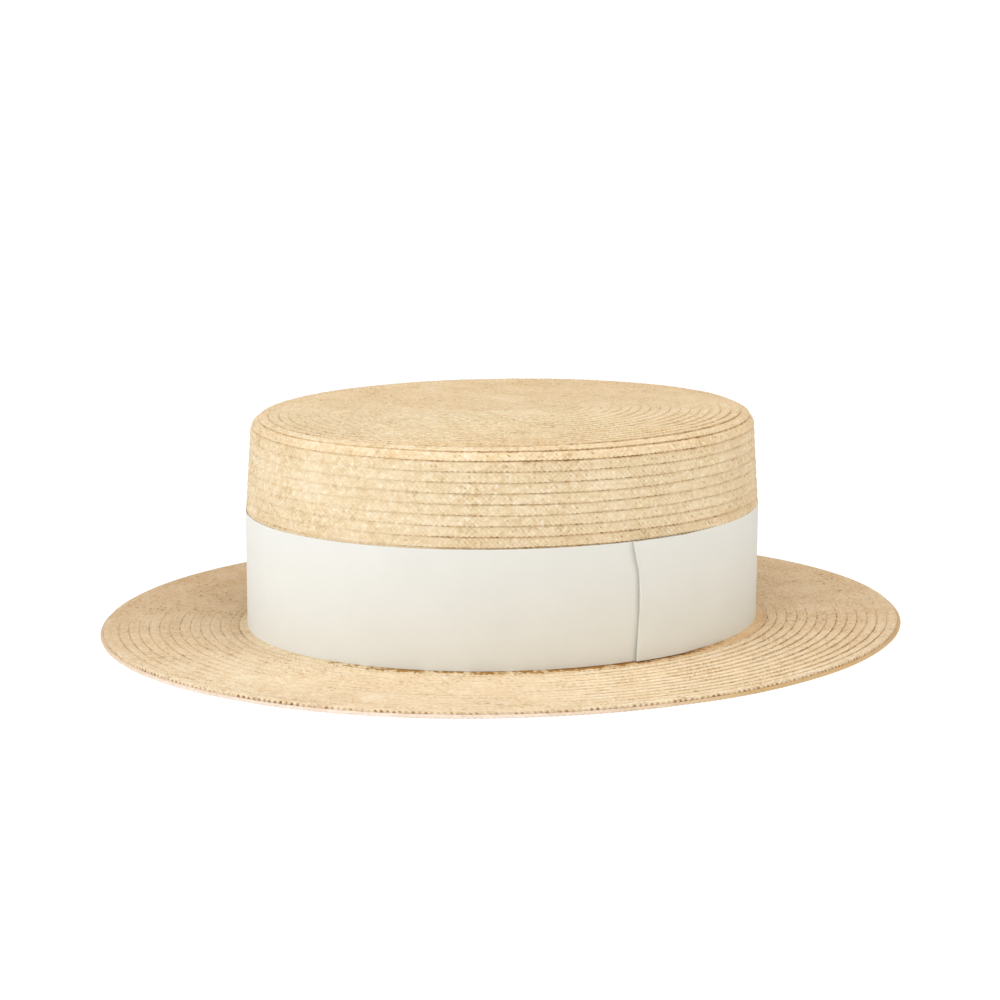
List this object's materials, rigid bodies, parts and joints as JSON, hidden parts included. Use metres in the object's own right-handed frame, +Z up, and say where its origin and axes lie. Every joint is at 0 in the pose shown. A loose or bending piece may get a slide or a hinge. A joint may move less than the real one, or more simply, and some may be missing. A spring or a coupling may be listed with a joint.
{
  "type": "straw boater hat",
  "caption": "Stiff straw boater with a flat-topped oval crown, a flat brim and a wide lapped ribbon band.",
  "frame": {"origin": "middle of the head opening, on the surface that the brim stands on", "axes": "+Z up through the crown, -Y to the wearer's forehead, +X to the wearer's left, where the ribbon laps"},
  "size_m": [0.2946, 0.3236, 0.0864],
  "materials": {
    "straw_crown": "plaited straw, pale gold, satin",
    "straw_brim": "plaited straw, pale gold, satin",
    "ribbon_cloth": "grosgrain ribbon, ivory, matt"
  },
  "bodies": {
    "root": {"crown": "straw_crown", "brim": "straw_brim", "ribbon": "ribbon_cloth"}
  },
  "joints": []
}
